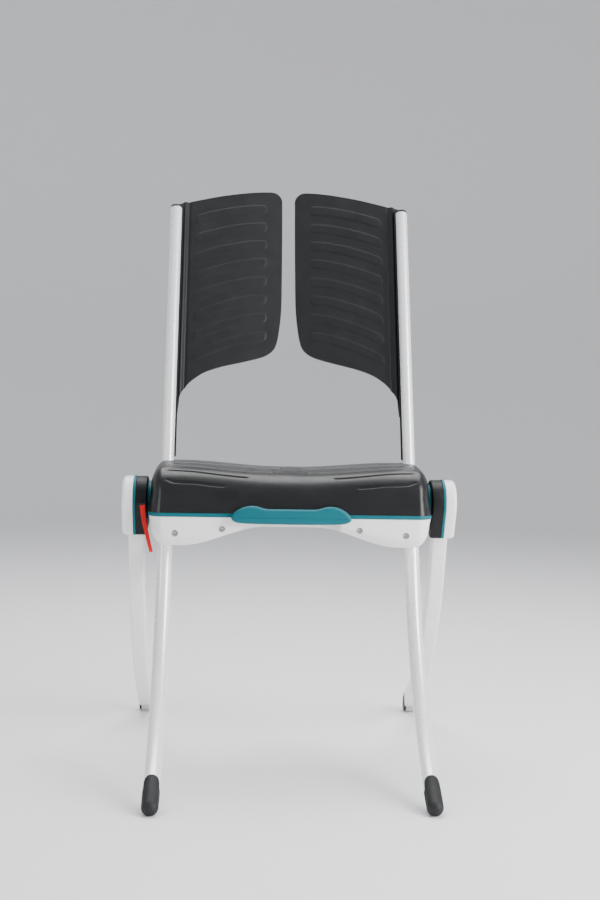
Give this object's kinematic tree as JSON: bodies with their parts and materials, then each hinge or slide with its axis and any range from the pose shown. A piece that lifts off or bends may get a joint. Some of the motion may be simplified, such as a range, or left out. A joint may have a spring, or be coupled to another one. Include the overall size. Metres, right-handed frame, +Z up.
{
  "type": "lifting chair",
  "caption": "Mobile lifting chair: motor-driven seat unit with plug-in split backrest, curved front legs with rubber shoes and curved wheeled rear legs on side arms.",
  "frame": {"origin": "floor, under the middle of the footprint, midway between the front shoes' noses and the rear wheels' backs", "axes": "+Z up; +X to the right of someone facing the chair, along the lift axis; +Y towards the back of the chair. Left and right in names are as seen from the front."},
  "size_m": [0.67, 0.7839, 1.1975],
  "materials": {
    "white_plastic": "satin off-white moulding",
    "cover_charcoal": "fine-grained satin charcoal moulding",
    "panel_grey": "satin dark grey moulding",
    "teal_plastic": "satin teal moulding",
    "black_plastic": "matt black moulding",
    "shoe_rubber": "matt dark grey rubber",
    "tube_paint": "satin silver-white powder coat on aluminium tube",
    "steel": "plain machined steel",
    "strap_webbing": "woven red webbing",
    "wheel_tread": "light grey polyurethane",
    "board": "green circuit board"
  },
  "bodies": {
    "seat_unit": {"seat_cover": "cover_charcoal", "lower_shell": "white_plastic", "trim_front": "teal_plastic", "trim_rear": "teal_plastic", "carry_handle": "teal_plastic", "shell_screw_outer_right": "steel", "shell_screw_outer_left": "steel", "shell_screw_inner_right": "steel", "shell_screw_inner_left": "steel", "boss_ring_right": "teal_plastic", "boss_ring_left": "teal_plastic", "hub_bearing_right": "steel", "hub_bearing_left": "steel", "side_plate_right": "steel", "side_plate_left": "steel", "leg_socket_right": "steel", "leg_socket_left": "steel", "front_rail": "steel", "rear_rail": "steel", "battery_pack": "black_plastic", "control_board": "board", "gear_motor": "steel", "control_pad": "black_plastic", "charge_port": "black_plastic", "strap_peg": "steel", "pull_strap": "strap_webbing"},
    "lift_arms": {"lift_shaft": "steel", "sector_gear": "steel", "arm_housing_right": "black_plastic", "arm_housing_left": "black_plastic", "arm_band_right": "teal_plastic", "arm_band_left": "teal_plastic", "arm_cap_right": "white_plastic", "arm_cap_left": "white_plastic"},
    "pinion": {"motor_pinion": "steel"},
    "up_key": {"up_button": "teal_plastic"},
    "down_key": {"down_button": "white_plastic"},
    "right_rear_leg": {"rear_leg_right": "white_plastic", "wheel_fork_right": "black_plastic", "wheel_axle_right": "steel"},
    "right_wheel": {"rear_wheel_right": "wheel_tread"},
    "right_front_leg": {"front_leg_tube_right": "tube_paint", "front_shoe_right": "shoe_rubber"},
    "right_backrest": {"back_tube_right": "tube_paint", "back_panel_right": "panel_grey", "tube_cap_right": "black_plastic"},
    "right_backrest_knob": {"backrest_latch_right": "black_plastic"},
    "right_leg_knob": {"front_leg_latch_right": "black_plastic"},
    "left_rear_leg": {"rear_leg_left": "white_plastic", "wheel_fork_left": "black_plastic", "wheel_axle_left": "steel"},
    "left_wheel": {"rear_wheel_left": "wheel_tread"},
    "left_front_leg": {"front_leg_tube_left": "tube_paint", "front_shoe_left": "shoe_rubber"},
    "left_backrest": {"back_tube_left": "tube_paint", "back_panel_left": "panel_grey", "tube_cap_left": "black_plastic"},
    "left_backrest_knob": {"backrest_latch_left": "black_plastic"},
    "left_leg_knob": {"front_leg_latch_left": "black_plastic"}
  },
  "joints": [
    {"name": "lift", "type": "hinge", "parent": "seat_unit", "child": "lift_arms", "pos_m": [0, -0.0115, 0.523], "axis": [1, 0, 0], "range_deg": [0, 112]},
    {"name": "pinion_spin", "type": "hinge", "parent": "seat_unit", "child": "pinion", "pos_m": [0, 0.0305, 0.523], "axis": [1, 0, 0], "range_deg": [-340, 0]},
    {"name": "up_press", "type": "slide", "parent": "seat_unit", "child": "up_key", "axis": [0, -1, 0], "range_m": [0, 0.0015], "stiffness_N_per_m": 400},
    {"name": "down_press", "type": "slide", "parent": "seat_unit", "child": "down_key", "axis": [0, -1, 0], "range_m": [0, 0.0015], "stiffness_N_per_m": 400},
    {"name": "right_rear_leg_plug", "type": "slide", "parent": "lift_arms", "child": "right_rear_leg", "axis": [0, 0.2756, -0.9613], "range_m": [0, 0.04]},
    {"name": "right_wheel_roll", "type": "hinge", "parent": "right_rear_leg", "child": "right_wheel", "pos_m": [0, 0.373, 0.019], "axis": [1, 0, 0], "continuous": true},
    {"name": "right_front_leg_plug", "type": "slide", "parent": "seat_unit", "child": "right_front_leg", "axis": [0, -0.3551, -0.9348], "range_m": [0, 0.06]},
    {"name": "right_backrest_plug", "type": "slide", "parent": "seat_unit", "child": "right_backrest", "axis": [0, 0.3551, 0.9348], "range_m": [0, 0.08]},
    {"name": "right_backrest_latch_pull", "type": "slide", "parent": "seat_unit", "child": "right_backrest_knob", "axis": [0, 1, 0], "range_m": [0, 0.006], "stiffness_N_per_m": 500},
    {"name": "right_leg_latch_pull", "type": "slide", "parent": "seat_unit", "child": "right_leg_knob", "axis": [0, 1, 0], "range_m": [0, 0.006], "stiffness_N_per_m": 500},
    {"name": "left_rear_leg_plug", "type": "slide", "parent": "lift_arms", "child": "left_rear_leg", "axis": [0, 0.2756, -0.9613], "range_m": [0, 0.04]},
    {"name": "left_wheel_roll", "type": "hinge", "parent": "left_rear_leg", "child": "left_wheel", "pos_m": [0, 0.373, 0.019], "axis": [1, 0, 0], "continuous": true},
    {"name": "left_front_leg_plug", "type": "slide", "parent": "seat_unit", "child": "left_front_leg", "axis": [0, -0.3551, -0.9348], "range_m": [0, 0.06]},
    {"name": "left_backrest_plug", "type": "slide", "parent": "seat_unit", "child": "left_backrest", "axis": [0, 0.3551, 0.9348], "range_m": [0, 0.08]},
    {"name": "left_backrest_latch_pull", "type": "slide", "parent": "seat_unit", "child": "left_backrest_knob", "axis": [0, 1, 0], "range_m": [0, 0.006], "stiffness_N_per_m": 500},
    {"name": "left_leg_latch_pull", "type": "slide", "parent": "seat_unit", "child": "left_leg_knob", "axis": [0, 1, 0], "range_m": [0, 0.006], "stiffness_N_per_m": 500}
  ],
  "couplings": [
    {"joint": "pinion_spin", "follows": "lift", "ratio": -3}
  ]
}
